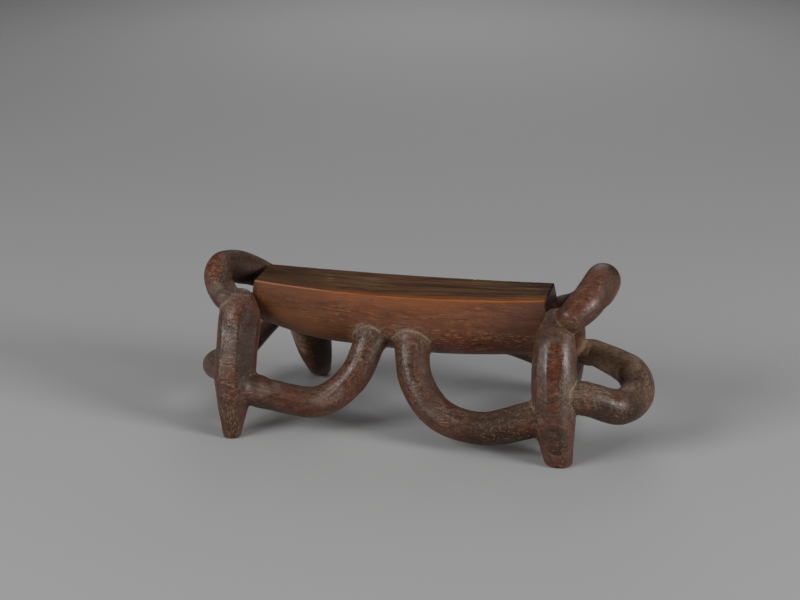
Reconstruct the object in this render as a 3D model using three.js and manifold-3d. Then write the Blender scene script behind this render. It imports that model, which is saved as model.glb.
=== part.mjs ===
// Carved wooden headrest, one piece: a concave resting beam on four splayed
// spindle legs, with two raised end loops, two low end loops and four curved
// struts under the beam. Millimetres, +Z up, front face towards -Y.
import * as THREE from "three";
import { mergeVertices } from "three/addons/utils/BufferGeometryUtils.js";
import Module from "manifold-3d";

const wasm = await Module();
wasm.setup();

// ---- resting beam ---------------------------------------------------------
const BEAM_LEFT = -137; // ends of the resting face
const BEAM_RIGHT = 134.4;
const BEAM_SKEW = 1.2; // the right end is not quite square
const BEAM_HALF = 136; // where the rise and belly below are measured
const BEAM_TOP_MID = 132.6; // height of the resting face in the middle
const BEAM_TOP_RISE = 4.4; // how much higher its ends are
const BEAM_HALF_WIDTH_END = 25;
const BEAM_BELLY = 6.8; // extra half width in the middle
const KEEL_LOW = 70.4; // lowest line of the hull-shaped underside
const KEEL_LOW_X = 25; // where that is along the beam
const KEEL_RIGHT = 0.00078; // rise to the right, per mm squared
const KEEL_LEFT = 0.045; // gentle rise to the left, per mm
const BOW_START = 85; // then the underside lifts like a bow
const BOW = 0.0025;
const END_SLANT = 0.2; // the ends run outwards going down
const SIDE_POWER = 1.7; // section: flat, slightly inward-leaning sides ...
const KEEL_POWER = 2.3; // ... that turn under into a round keel
const BEAM_STEPS = 26;
const SECTION_STEPS = 9;

// ---- limbs ------------------------------------------------------------------
const SIDES = 18;
const CAP_RINGS = 3;
const FLOOR = 0;

// Each limb is a centreline with a radius at each station: [x, y, z, r].
// cap0 and cap1 are the lengths of its domed ends, as shares of the radius.
const LIMBS = {
  leg_front_left: { rings: 12, cap0: 0.7, cap1: 0.1, line: [
    [-149.8, -29, 121.5, 11.5], [-149.2, -35, 108, 18.9], [-148.2, -61.9, 48.6, 18], [-148.5, -75, -4, 7.2]] },
  leg_front_right: { rings: 13, cap0: 0.8, cap1: 0.1, line: [
    [143.8, -30.8, 124.2, 9.6], [144.6, -37.2, 108, 17.3], [146.2, -50, 80, 20.1], [150, -63.6, 36, 18.6],
    [155.9, -70.2, -4, 11.4]] },
  leg_back_left: { rings: 12, cap0: 0.5, cap1: 0.1, line: [
    [-115, 35.9, 108.6, 16.5], [-110.8, 50.4, 80, 18.4], [-107.8, 69.3, 43.2, 18.1], [-106, 94.5, -4, 8.8]] },
  leg_back_right: { rings: 12, cap0: 0.6, cap1: 0.1, line: [
    [143.6, 33.5, 108.5, 14.5], [147.3, 48, 84.4, 17.2], [148.1, 73.4, 34.5, 14.4], [145.5, 93.5, -4, 9.5]] },
  loop_upper_left: { rings: 18, cap0: 0.9, cap1: 0.9, line: [
    [-153.4, -33.1, 113.6, 12], [-166.3, -28, 123.4, 13.1], [-175.9, -15.4, 134.3, 13.1], [-175.5, 0.4, 140.6, 13.9],
    [-165.8, 18.5, 134.3, 15.7], [-150.9, 29.9, 126, 14], [-129, 36, 111, 13]] },
  loop_upper_right: { rings: 18, cap0: 0.7, cap1: 0.9, line: [
    [157.5, -40.5, 126.8, 12.9], [164.9, -32.6, 133.4, 14.7], [171.9, -22.7, 139.7, 15.6], [181.8, 2, 150.3, 15.9],
    [175.9, 23.2, 131, 15.4], [161.8, 33.3, 115.2, 15], [142.5, 38.5, 103.6, 14]] },
  loop_lower_left: { rings: 18, cap0: 0.8, cap1: 0.8, line: [
    [-146, -60, 55, 11], [-161.3, -41.3, 51.8, 12.2], [-188.3, 4.1, 38.2, 12.5], [-176.1, 39.5, 39, 13.3],
    [-146.7, 57.5, 74, 13.9], [-131.1, 57.5, 82.4, 14.3], [-116, 55, 88, 11]] },
  loop_lower_right: { rings: 18, cap0: 0.8, cap1: 0.8, line: [
    [153, -57.8, 61, 11], [170.8, -56.3, 59.2, 15.2], [180.9, -54.3, 57.1, 15.2], [206.1, -41.3, 47.8, 16.2],
    [218.6, -8.3, 50, 15.7], [209, 28.1, 54.8, 14.9], [177.9, 54.6, 58.2, 12.9], [167.3, 59.2, 57.9, 13], [151, 63.3, 56.4, 10]] },
  strut_front_left: { rings: 18, cap0: 1, cap1: 0.8, line: [
    [-28.4, -14.5, 91, 15.4], [-28.7, -23.8, 82.3, 14.5], [-42.6, -37.2, 51, 14.4], [-72.4, -49, 30.7, 14.4],
    [-112.4, -60.7, 38.9, 13.9], [-127.7, -62.4, 43.5, 14.7], [-146, -60, 49, 10]] },
  strut_front_right: { rings: 18, cap0: 1, cap1: 0.8, line: [
    [11, -14.5, 88.5, 17.4], [12.5, -24.2, 79.1, 16.1], [19.6, -37.6, 52.6, 15.6], [44.2, -52.2, 29.5, 15.1],
    [83.8, -60.1, 23.3, 15], [127.4, -62.2, 36.4, 16.3], [143, -61, 43, 11]] },
  strut_back_left: { rings: 10, cap0: 0.8, cap1: 0.8, line: [
    [-105, 56, 67, 11], [-88.6, 50.7, 73.4, 14.2], [-72, 44, 80, 13.8], [-34, 19, 95.5, 14]] },
  strut_back_right: { rings: 10, cap0: 0.8, cap1: 0.8, line: [
    [147, 62, 49, 10], [131, 53, 55.3, 14], [121.9, 47.9, 59.7, 13.8], [71, 20, 88, 14]] },
};

// Two long knife flats that meet in an arris on the front legs. turn: angle of the
// arris from the front; twist: its change per mm down; half: half a flat's width, as
// an angle; proud: how far the arris stands out; top and low: where the flats run out.
const FLATS = {
  leg_front_left: { turn: 0.315, twist: 0.003, half: 0.5, proud: 0.01, top: 103, low: 44 },
  leg_front_right: { turn: -0.3, twist: 0.001, half: 0.26, proud: 0.004, top: 104, low: 30 },
};

// ---- helpers ----------------------------------------------------------------
const lerp = THREE.MathUtils.lerp;

function solid(geometry) {
  const bare = geometry.index ? geometry.toNonIndexed() : geometry.clone();
  for (const name of Object.keys(bare.attributes))
    if (name !== "position") bare.deleteAttribute(name);
  const merged = mergeVertices(bare, 1e-3);
  return new wasm.Manifold(
    new wasm.Mesh({
      numProp: 3,
      vertProperties: merged.attributes.position.array,
      triVerts: new Uint32Array(merged.index.array),
    }),
  );
}

// Share of the radius that the flats leave, for an offset (ex, ey) from the axis.
function flatShare({ turn, twist, half, proud, top, low }, ex, ey, z) {
  const clamp01 = (v) => Math.min(1, Math.max(0, v));
  const around = Math.hypot(Math.atan2(ex, -ey) - turn - twist * (top - z), 0.06);
  let share = ((1 + proud) * Math.cos(half)) / Math.cos(Math.min(1.2, Math.max(-1.2, around - half)));
  if (around >= half) share = Math.min(share, 1);
  const fade = clamp01((top + 9 - z) / 16) * clamp01((z - low + 12) / 24);
  return 1 + (3 - 2 * fade) * fade ** 2 * (share - 1);
}

// A turned spindle (a lathe profile closed on its axis) bent along a curve.
function limb({ line, rings, cap0, cap1 }, flats) {
  const axis = new THREE.CatmullRomCurve3(
    line.map(([x, y, z]) => new THREE.Vector3(x, y, z)), false, "catmullrom", 0.5);
  const girth = new THREE.CatmullRomCurve3(
    line.map(([, , , r], i) => new THREE.Vector3(r, 0, 0)), false, "catmullrom", 0.5);
  axis.arcLengthDivisions = 400;
  axis.updateArcLengths();
  const length = axis.getLength();
  const frames = axis.computeFrenetFrames(rings, false);

  // profile stations along the limb: dome, body, dome
  const stations = [];
  const r0 = girth.getPoint(0).x, r1 = girth.getPoint(1).x;
  stations.push({ ring: 0, along: -cap0 * r0, r: 0 });
  for (let i = 1; i < CAP_RINGS; i++) {
    const a = (i / CAP_RINGS) * Math.PI / 2;
    stations.push({ ring: 0, along: -cap0 * r0 * Math.cos(a), r: r0 * Math.sin(a) });
  }
  for (let i = 0; i <= rings; i++) {
    const t = axis.getUtoTmapping(i / rings);
    stations.push({ ring: i, along: 0, r: girth.getPoint(t).x });
  }
  for (let i = CAP_RINGS - 1; i > 0; i--) {
    const a = (i / CAP_RINGS) * Math.PI / 2;
    stations.push({ ring: rings, along: cap1 * r1 * Math.cos(a), r: r1 * Math.sin(a) });
  }
  stations.push({ ring: rings, along: cap1 * r1, r: 0 });

  const profile = stations.map(
    (s) => new THREE.Vector2(s.r, (s.ring / rings) * length + s.along));
  const turned = new THREE.LatheGeometry(profile, SIDES);
  const position = turned.attributes.position;
  const p = new THREE.Vector3(), radial = new THREE.Vector3();
  for (let i = 0; i < position.count; i++) {
    const s = stations[i % stations.length];
    const centre = axis.getPointAt(s.ring / rings);
    radial.set(0, 0, 0)
      .addScaledVector(frames.binormals[s.ring], position.getX(i))
      .addScaledVector(frames.normals[s.ring], position.getZ(i));
    if (flats && s.r > 0)
      radial.multiplyScalar(flatShare(flats, radial.x, radial.y, centre.z + radial.z));
    p.copy(centre).addScaledVector(frames.tangents[s.ring], s.along).add(radial);
    position.setXYZ(i, p.x, p.y, p.z);
  }
  return solid(turned);
}

// The beam: half a superellipse drawn flat side up, run along X and shaped.
function beam() {
  const outline = new THREE.Shape();
  for (let i = 0; i <= 2 * SECTION_STEPS; i++) {
    const a = (i / (2 * SECTION_STEPS)) * Math.PI;
    const c = Math.cos(a), s = Math.sin(a);
    const across = -Math.sign(c) * Math.abs(c) ** (2 / SIDE_POWER);
    const depth = s < 1e-9 ? 0 : s ** (2 / KEEL_POWER);
    if (i === 0) outline.moveTo(across, -depth);
    else outline.lineTo(across, -depth);
  }
  outline.closePath();
  const run = new THREE.ExtrudeGeometry(outline, {
    depth: 1, steps: BEAM_STEPS, bevelEnabled: false, curveSegments: 1 });
  const position = run.attributes.position;
  for (let i = 0; i < position.count; i++) {
    const across = position.getX(i), depth = -position.getY(i);
    const run01 = position.getZ(i);
    const x = lerp(BEAM_LEFT, BEAM_RIGHT + BEAM_SKEW * across, run01);
    const k = (x / BEAM_HALF) ** 2;
    const top = BEAM_TOP_MID + BEAM_TOP_RISE * k;
    const off = KEEL_LOW_X - x;
    const keel = KEEL_LOW + (off < 0
      ? KEEL_RIGHT * off ** 2
      : KEEL_LEFT * off + BOW * Math.max(0, off - BOW_START) ** 2);
    const half = BEAM_HALF_WIDTH_END + BEAM_BELLY * (1 - k);
    const z = lerp(top, keel, depth);
    const slant = Math.sign(x) * END_SLANT * (BEAM_TOP_MID + BEAM_TOP_RISE - z) * k ** 4;
    position.setXYZ(i, x + slant, across * half, z);
  }
  return solid(run);
}

// ---- one carved piece -------------------------------------------------------
let carved = beam();
for (const [name, spec] of Object.entries(LIMBS))
  carved = carved.add(limb(spec, FLATS[name]));

// the feet are cut off level where they stand
const under = new THREE.BoxGeometry(600, 400, 60);
under.translate(0, 0, FLOOR - 30);
carved = carved.subtract(solid(under));

const out = carved.getMesh();
const geometry = new THREE.BufferGeometry();
const xyz = new Float32Array(out.numVert * 3);
for (let i = 0; i < out.numVert; i++)
  xyz.set(out.vertProperties.subarray(i * out.numProp, i * out.numProp + 3), i * 3);
geometry.setAttribute("position", new THREE.BufferAttribute(xyz, 3));
geometry.setIndex(new THREE.BufferAttribute(new Uint32Array(out.triVerts), 1));

// origin: middle of the footprint box, on the floor
geometry.computeBoundingBox();
const box = geometry.boundingBox;
geometry.translate(-(box.min.x + box.max.x) / 2, -(box.min.y + box.max.y) / 2, -box.min.z);
geometry.computeVertexNormals();

const headrest = new THREE.Mesh(
  geometry,
  new THREE.MeshStandardMaterial({ color: 0x5b3a28, roughness: 0.42, metalness: 0 }));
headrest.name = "headrest";

const part = new THREE.Group();
part.add(headrest);
export default part;
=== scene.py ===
import math

import bpy
import numpy as np
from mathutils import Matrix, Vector


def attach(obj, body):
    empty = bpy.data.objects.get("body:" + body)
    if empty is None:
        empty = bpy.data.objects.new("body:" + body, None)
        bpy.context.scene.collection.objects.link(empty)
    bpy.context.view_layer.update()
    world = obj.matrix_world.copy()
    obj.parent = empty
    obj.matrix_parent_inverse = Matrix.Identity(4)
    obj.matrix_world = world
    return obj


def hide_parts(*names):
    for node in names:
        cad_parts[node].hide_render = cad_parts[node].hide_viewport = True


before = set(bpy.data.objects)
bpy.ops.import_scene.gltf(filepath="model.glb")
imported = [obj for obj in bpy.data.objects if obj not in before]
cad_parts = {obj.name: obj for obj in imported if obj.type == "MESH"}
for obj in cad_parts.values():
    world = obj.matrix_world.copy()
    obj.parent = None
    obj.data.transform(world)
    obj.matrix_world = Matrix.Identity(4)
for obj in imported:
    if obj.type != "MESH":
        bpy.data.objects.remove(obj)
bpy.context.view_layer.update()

MM = 0.001
SHIFT = np.array([16.486862182617188, 9.862068176269531, 0.0])

# ---- resting beam -----------------------------------------------------------
BEAM_LEFT, BEAM_RIGHT, BEAM_SKEW, BEAM_HALF = -137.0, 134.4, 1.2, 136.0
BEAM_TOP_MID, BEAM_TOP_RISE = 132.6, 4.4
BEAM_HALF_WIDTH_END, BEAM_BELLY = 25.0, 6.8
KEEL_LOW, KEEL_LOW_X, KEEL_RIGHT, KEEL_LEFT = 70.4, 25.0, 0.00078, 0.045
BOW_START, BOW = 85.0, 0.0025
END_SLANT, SIDE_POWER, KEEL_POWER = 0.2, 1.7, 2.3
EDGE_ROUND = 0.75

# ---- limbs: centreline and radius, domed ends as shares of the radius ----------
LIMBS = {
    "leg_front_left": (0.7, 0.1, [
        (-149.8, -29, 121.5, 11.5), (-149.2, -35, 108, 18.9), (-148.7, -48.4, 78.3, 19.5), (-148.2, -61.9, 48.6, 18), (-148.5, -75, -4, 7.2)]),
    "leg_front_right": (0.8, 0.1, [
        (143.8, -30.8, 124.2, 9.6), (144.6, -37.2, 108, 17.3), (146.2, -50, 80, 20.1), (150, -63.6, 36, 18.6), (155.9, -70.2, -4, 11.4)]),
    "leg_back_left": (0.5, 0.1, [
        (-115, 35.9, 108.6, 16.5), (-110.8, 50.4, 80, 18.4), (-107.8, 69.3, 43.2, 18.1), (-106, 94.5, -4, 8.8)]),
    "leg_back_right": (0.6, 0.1, [
        (143.6, 33.5, 108.5, 14.5), (147.3, 48, 84.4, 17.2), (148.1, 73.4, 34.5, 14.4), (145.5, 93.5, -4, 9.5)]),
    "loop_upper_left": (0.9, 0.9, [
        (-153.4, -33.1, 113.6, 12), (-166.3, -28, 123.4, 13.1), (-175.9, -15.4, 134.3, 13.1), (-175.5, 0.4, 140.6, 13.9),
        (-165.8, 18.5, 134.3, 15.7), (-150.9, 29.9, 126, 14), (-129, 36, 111, 13)]),
    "loop_upper_right": (0.7, 0.9, [
        (157.5, -40.5, 126.8, 12.9), (164.9, -32.6, 133.4, 14.7), (171.9, -22.7, 139.7, 15.6), (181.8, 2, 150.3, 15.9),
        (175.9, 23.2, 131, 15.4), (161.8, 33.3, 115.2, 15), (142.5, 38.5, 103.6, 14)]),
    "loop_lower_left": (0.8, 0.8, [
        (-146, -60, 55, 11), (-161.3, -41.3, 51.8, 12.2), (-188.3, 4.1, 38.2, 12.5), (-176.1, 39.5, 39, 13.3),
        (-146.7, 57.5, 74, 13.9), (-131.1, 57.5, 82.4, 14.3), (-116, 55, 88, 11)]),
    "loop_lower_right": (0.8, 0.8, [
        (153, -57.8, 61, 11), (170.8, -56.3, 59.2, 15.2), (180.9, -54.3, 57.1, 15.2), (206.1, -41.3, 47.8, 16.2), (218.6, -8.3, 50, 15.7),
        (209, 28.1, 54.8, 14.9), (177.9, 54.6, 58.2, 12.9), (167.3, 59.2, 57.9, 13), (151, 63.3, 56.4, 10)]),
    "strut_front_left": (1.0, 0.8, [
        (-28.4, -14.5, 91, 15.4), (-28.7, -23.8, 82.3, 14.5), (-42.6, -37.2, 51, 14.4), (-72.4, -49, 30.7, 14.4),
        (-112.4, -60.7, 38.9, 13.9), (-127.7, -62.4, 43.5, 14.7), (-146, -60, 49, 10)]),
    "strut_front_right": (1.0, 0.8, [
        (11, -14.5, 88.5, 17.4), (12.5, -24.2, 79.1, 16.1), (19.6, -37.6, 52.6, 15.6), (44.2, -52.2, 29.5, 15.1),
        (83.8, -60.1, 23.3, 15), (127.4, -62.2, 36.4, 16.3), (143, -61, 43, 11)]),
    "strut_back_left": (0.8, 0.8, [
        (-105, 56, 67, 11), (-88.6, 50.7, 73.4, 14.2), (-72, 44, 80, 13.8), (-34, 19, 95.5, 14)]),
    "strut_back_right": (0.8, 0.8, [
        (147, 62, 49, 10), (131, 53, 55.3, 14), (111, 42, 66.2, 13.8), (91, 31, 77.1, 13.9), (71, 20, 88, 14)]),
}
# an arris between two flats: angle from the front, its twist per mm down, half width, how proud it stands, top and low end
FLATS = {"leg_front_left": (0.315, 0.0030, 0.50, 0.010, 103.0, 44.0),
         "leg_front_right": (-0.30, 0.001, 0.26, 0.004, 104.0, 30.0)}
# how softly groups of members run into each other (mm)
FILLET = {("leg", "leg"): 2.0, ("leg", "low"): 3.0, ("leg", "high"): 2.4, ("leg", "strut"): 5.5, ("low", "low"): 3.0,
          ("low", "high"): 2.5, ("low", "strut"): 4.0, ("high", "high"): 2.5, ("high", "strut"): 2.5, ("strut", "strut"): 4.0,
          ("leg", "beam"): 1.8, ("low", "beam"): 2.0, ("high", "beam"): 2.0, ("strut", "beam"): 11.0}
GROUPS = ("leg", "low", "high", "strut", "beam")
BAND = 9.0          # field is only kept this near to a member
CELL = 1.3          # meshing grid
FOOT_ROUND = 2.2
MOST_TRIANGLES = 192000


def group_of(name):
    if name.startswith("loop_lower"):
        return "low"
    if name.startswith("loop_upper"):
        return "high"
    return name.split("_")[0]


class Limb:
    """A bent spindle: a Catmull-Rom centreline with a radius, and domed ends."""

    def __init__(self, name, spec):
        self.name, self.group = name, group_of(name)
        self.cap0, self.cap1, line = spec
        c = np.array(line, float)
        self.n = len(c) - 1
        self.ctrl = np.vstack([2 * c[0] - c[1], c, 2 * c[-1] - c[-2]])
        fine = np.linspace(0, self.n, 60 * self.n + 1)
        pts = self.at(fine)[0][:, :3]
        run = np.concatenate([[0], np.cumsum(np.linalg.norm(np.diff(pts, axis=0), axis=1))])
        self.length = run[-1]
        count = max(8, int(round(self.length / 3.0)))
        self.t = np.interp(np.linspace(0, self.length, count + 1), run, fine)
        knots = self.at(self.t)[0]
        self.p, self.r = knots[:, :3], knots[:, 3]
        self.run_at = lambda t: np.interp(t, fine, run)
        reach = self.r[:, None] + BAND
        self.low, self.high = (self.p - reach).min(0), (self.p + reach).max(0)

    def at(self, t):
        """Value, first and second derivative of (x, y, z, r) at parameter t (0 .. n)."""
        i = np.clip(np.floor(t).astype(int), 0, self.n - 1)
        w = (t - i)[:, None]
        p0, p1, p2, p3 = (self.ctrl[i + k] for k in range(4))
        m1, m2 = (p2 - p0) / 2, (p3 - p1) / 2
        a = 2 * p1 - 2 * p2 + m1 + m2
        b = -3 * p1 + 3 * p2 - 2 * m1 - m2
        return a * w**3 + b * w**2 + m1 * w + p1, 3 * a * w**2 + 2 * b * w + m1, 6 * a * w + 2 * b

    def flats(self, e, z):
        """Share of the radius left where two long knife flats meet in an arris."""
        if self.name not in FLATS:
            return 1.0
        turn, twist, half, proud, z_top, z_low = FLATS[self.name]
        u = np.sqrt((np.arctan2(e[:, 0], -e[:, 1]) - turn - twist * (z_top - z)) ** 2 + 0.06**2)
        cut = (1 + proud) * math.cos(half) / np.cos(np.clip(u - half, -1.2, 1.2))
        cut = np.where(u < half, cut, np.minimum(cut, 1))
        fade = np.clip((z_top + 9 - z) / 16, 0, 1) * np.clip((z - z_low + 12) / 24, 0, 1)
        return 1 + (3 - 2 * fade) * fade**2 * (cut - 1)

    def field(self, pts, want=False):
        """Distance to the surface (BAND when far), and with want its gradient and the parameter."""
        d = np.full(len(pts), BAND)
        g = np.zeros((len(pts), 3)) if want else None
        par = np.zeros(len(pts)) if want else None
        near = np.flatnonzero(np.all((pts > self.low) & (pts < self.high), axis=1))
        a, ab = self.p[:-1], np.diff(self.p, axis=0)
        ll = (ab**2).sum(1)
        for start in range(0, len(near), 20000):
            idx = near[start:start + 20000]
            q = pts[idx]
            best, tt = np.full(len(q), 1e9), np.zeros(len(q))
            for k in range(len(a)):
                w = np.clip(((q - a[k]) @ ab[k]) / ll[k], 0, 1)
                e = q - a[k] - w[:, None] * ab[k]
                v = np.sqrt((e * e).sum(1)) - (self.r[k] + w * (self.r[k + 1] - self.r[k]))
                hit = v < best
                best[hit] = v[hit]
                tt[hit] = (self.t[k] + w * (self.t[k + 1] - self.t[k]))[hit]
            for _ in range(2):
                c, c1, c2 = self.at(tt)
                e = q - c[:, :3]
                slope = (c1[:, :3] ** 2).sum(1) - (e * c2[:, :3]).sum(1)
                slope = np.maximum(slope, 0.15 * (c1[:, :3] ** 2).sum(1))
                tt = np.clip(tt + (e * c1[:, :3]).sum(1) / slope, 0, self.n)
            c, c1, c2 = self.at(tt)
            e = q - c[:, :3]
            dist = np.maximum(np.sqrt((e * e).sum(1)), 1e-6)
            value = dist - c[:, 3] * self.flats(e, q[:, 2])
            if want:
                slope = np.maximum((c1[:, :3] ** 2).sum(1) - (e * c2[:, :3]).sum(1), 0.15 * (c1[:, :3] ** 2).sum(1))
                grad = e / dist[:, None] - (c1[:, 3] / slope)[:, None] * c1[:, :3]
            # domed ends
            for end, cap, sign in ((0.0, self.cap0, -1.0), (float(self.n), self.cap1, 1.0)):
                ce, te, _ = self.at(np.array([end]))
                axis = sign * te[0, :3] / np.linalg.norm(te[0, :3])
                off = q - ce[0, :3]
                h = off @ axis
                close = (h > 0) & (abs(self.run_at(tt) - self.run_at(end)) < 1.1 * ce[0, 3])
                if not close.any():
                    continue
                rho = off[close] - h[close, None] * axis
                stretch = np.sqrt((rho * rho).sum(1) + (h[close] / cap) ** 2)
                value[close] = stretch - ce[0, 3]
                if want:
                    grad[close] = (rho + (h[close] / cap**2)[:, None] * axis) / np.maximum(stretch, 1e-6)[:, None]
            value = np.minimum(value, BAND)
            d[idx] = value
            if want:
                g[idx] = grad
                par[idx] = tt
        return (d, g, par) if want else d


    def flow(self, pts):
        """Place along the limb and across it (mm), in a frame carried along the centreline."""
        tangent = np.gradient(self.p, axis=0)
        tangent /= np.linalg.norm(tangent, axis=1)[:, None]
        side = [np.array([1.0, 0.0, 0.0]) if abs(tangent[0, 0]) < 0.8 else np.array([0.0, 1.0, 0.0])]
        for t in tangent:
            v = side[-1] - (side[-1] @ t) * t
            side.append(v / np.linalg.norm(v))
        side = np.array(side[1:])
        _, _, par = self.field(pts, True)
        e = pts - self.at(par)[0][:, :3]
        u = np.stack([np.interp(par, self.t, side[:, k]) for k in range(3)], 1)
        t = np.stack([np.interp(par, self.t, tangent[:, k]) for k in range(3)], 1)
        return np.stack([self.run_at(par), (e * u).sum(1), (e * np.cross(t, u)).sum(1)], 1)


def beam_top(x):
    return BEAM_TOP_MID + BEAM_TOP_RISE * (x / BEAM_HALF) ** 2


def beam_planes(p):
    """Raw side function, and distances to the top and the two ends."""
    z = p[:, 2]
    x = p[:, 0]
    for _ in range(2):      # undo the slant of the ends
        k = (x / BEAM_HALF) ** 2
        x = p[:, 0] - np.sign(x) * END_SLANT * (BEAM_TOP_MID + BEAM_TOP_RISE - z) * np.minimum(k, 1.3) ** 4
    k = (x / BEAM_HALF) ** 2
    top = BEAM_TOP_MID + BEAM_TOP_RISE * k
    off = KEEL_LOW_X - x
    keel = KEEL_LOW + np.where(off < 0, KEEL_RIGHT * off**2, KEEL_LEFT * off + BOW * np.maximum(0, off - BOW_START) ** 2)
    half = BEAM_HALF_WIDTH_END + BEAM_BELLY * (1 - k)
    u, w = p[:, 1] / half, (top - z) / (top - keel)
    side = np.sqrt(np.abs(u) ** SIDE_POWER + np.maximum(w, 0) ** KEEL_POWER + 1e-9) - 1
    return side, z - top, BEAM_LEFT - x, x - (BEAM_RIGHT + BEAM_SKEW * u)


def beam_field(pts):
    """Distance to the beam's surface, BAND when far."""
    d = np.full(len(pts), BAND)
    lo = np.array([BEAM_LEFT - 14 - BAND, -36 - BAND, 60 - BAND])
    hi = np.array([BEAM_RIGHT + 16 + BAND, 36 + BAND, 140 + BAND])
    near = np.flatnonzero(np.all((pts > lo) & (pts < hi), axis=1))
    for start in range(0, len(near), 200000):
        idx = near[start:start + 200000]
        q = pts[idx]
        side, top, e0, e1 = beam_planes(q)
        eps = 0.05
        steep = np.zeros(len(q))
        for a in range(3):
            s = np.zeros(3)
            s[a] = eps
            steep += ((beam_planes(q + s)[0] - beam_planes(q - s)[0]) / (2 * eps)) ** 2
        side = side / np.maximum(np.sqrt(steep), 0.008)
        parts = np.stack([side, top, np.maximum(e0, e1)], 1) + EDGE_ROUND
        d[idx] = np.minimum(
            np.minimum(parts.max(1), 0) + np.sqrt((np.maximum(parts, 0) ** 2).sum(1)) - EDGE_ROUND, BAND)
    return d


def join(a, b, k):
    h = np.maximum(k - np.abs(a - b), 0) / k
    return np.minimum(a, b) - h * h * k / 4


def blend(by_group, x):
    """The carving's field from the smallest distance in each group of members."""
    out = None
    for i, a in enumerate(GROUPS):
        for b in GROUPS[i + 1:]:
            k = FILLET.get((a, b), 2.5)
            if (a, b) == ("leg", "high"):       # a clear seam on the left, worn away on the right
                k = np.where(x < 0, k, 7.5)
            v = join(by_group[a], by_group[b], k)
            out = v if out is None else np.minimum(out, v)
    return out


LIMB_LIST = [Limb(name, spec) for name, spec in LIMBS.items()]


def group_fields(pts):
    """Smallest distance per group. Two members of one group that touch get that group's own fillet."""
    out = {g: np.full(len(pts), BAND) for g in GROUPS}
    out["beam"] = beam_field(pts)
    for limb in LIMB_LIST:
        d = limb.field(pts)
        out[limb.group] = join(out[limb.group], d, FILLET.get((limb.group, limb.group), 2.5))
    return out


# the knife leaves nothing quite round: slow swells, and small flats on top of them
rng = np.random.default_rng(41)
LATTICE = [rng.uniform(-1, 1, (24, 24, 24)) for _ in range(2)]


def swell(pts, table, wave):
    """Smooth random values between -1 and 1 that repeat every 24 waves."""
    q = pts / wave
    i = np.floor(q).astype(int)
    w = q - i
    w = w * w * (3 - 2 * w)
    n = table.shape[0]
    out = 0
    for corner in range(8):
        o = [(corner >> k) & 1 for k in range(3)]
        share = 1
        for k in range(3):
            share = share * (w[:, k] if o[k] else 1 - w[:, k])
        out = out + share * table[(i[:, 0] + o[0]) % n, (i[:, 1] + o[1]) % n, (i[:, 2] + o[2]) % n]
    return out


# chips and a worn notch: centre and radius
NICKS = ((155.4, -81.6, 0.2, 2.3), (140.2, -81.9, 47.8, 1.9), (-151.5, -86.6, 9.5, 1.7), (-187, 14, 49.5, 1.6),
         (-92, -29.8, 136.2, 1.6), (61, 31.4, 133.8, 1.9), (-108.5, 96.2, 22, 2.2))


def carving(pts):
    by_group = group_fields(pts)
    v = blend(by_group, pts[:, 0])
    near = np.flatnonzero(np.abs(v) < 5)
    q = pts[near]
    calm = np.clip((by_group["beam"][near] - 1.0) / 6.0, 0, 1)     # the beam's faces are flatter
    v[near] -= (0.12 + 0.40 * calm) * swell(q, LATTICE[0], np.array([34.0, 24.0, 24.0])) + (
        0.05 + 0.14 * calm) * swell(q, LATTICE[1], np.array([11.0, 8.5, 8.5]))
    for x, y, z, r in NICKS:
        off = q - (x, y, z)
        v[near] = np.maximum(v[near], r - np.sqrt((off * off).sum(1)))
    ease = np.where((pts[:, 0] < 0) & (pts[:, 1] > 40), 6.5, FOOT_ROUND)      # level feet with an eased edge, the back left one worn round
    q0, q1 = v + ease, -pts[:, 2] + ease
    return np.minimum(np.maximum(q0, q1), 0) + np.sqrt(np.maximum(q0, 0) ** 2 + np.maximum(q1, 0) ** 2) - ease


def seams(pts):
    """For the material: how far each point is from the next member, how much nearer its own one is, its distance to the beam, and its flow."""
    d = np.stack([beam_field(pts)] + [limb.field(pts) for limb in LIMB_LIST], 1)
    own = np.argmin(d, axis=1)
    flow = pts.copy()
    for i, limb in enumerate(LIMB_LIST):
        mine = own == i + 1
        flow[mine] = limb.flow(pts[mine])
    near = np.sort(d, axis=1)[:, :2]
    return near[:, 1], near[:, 1] - near[:, 0], d[:, 0], flow


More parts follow.
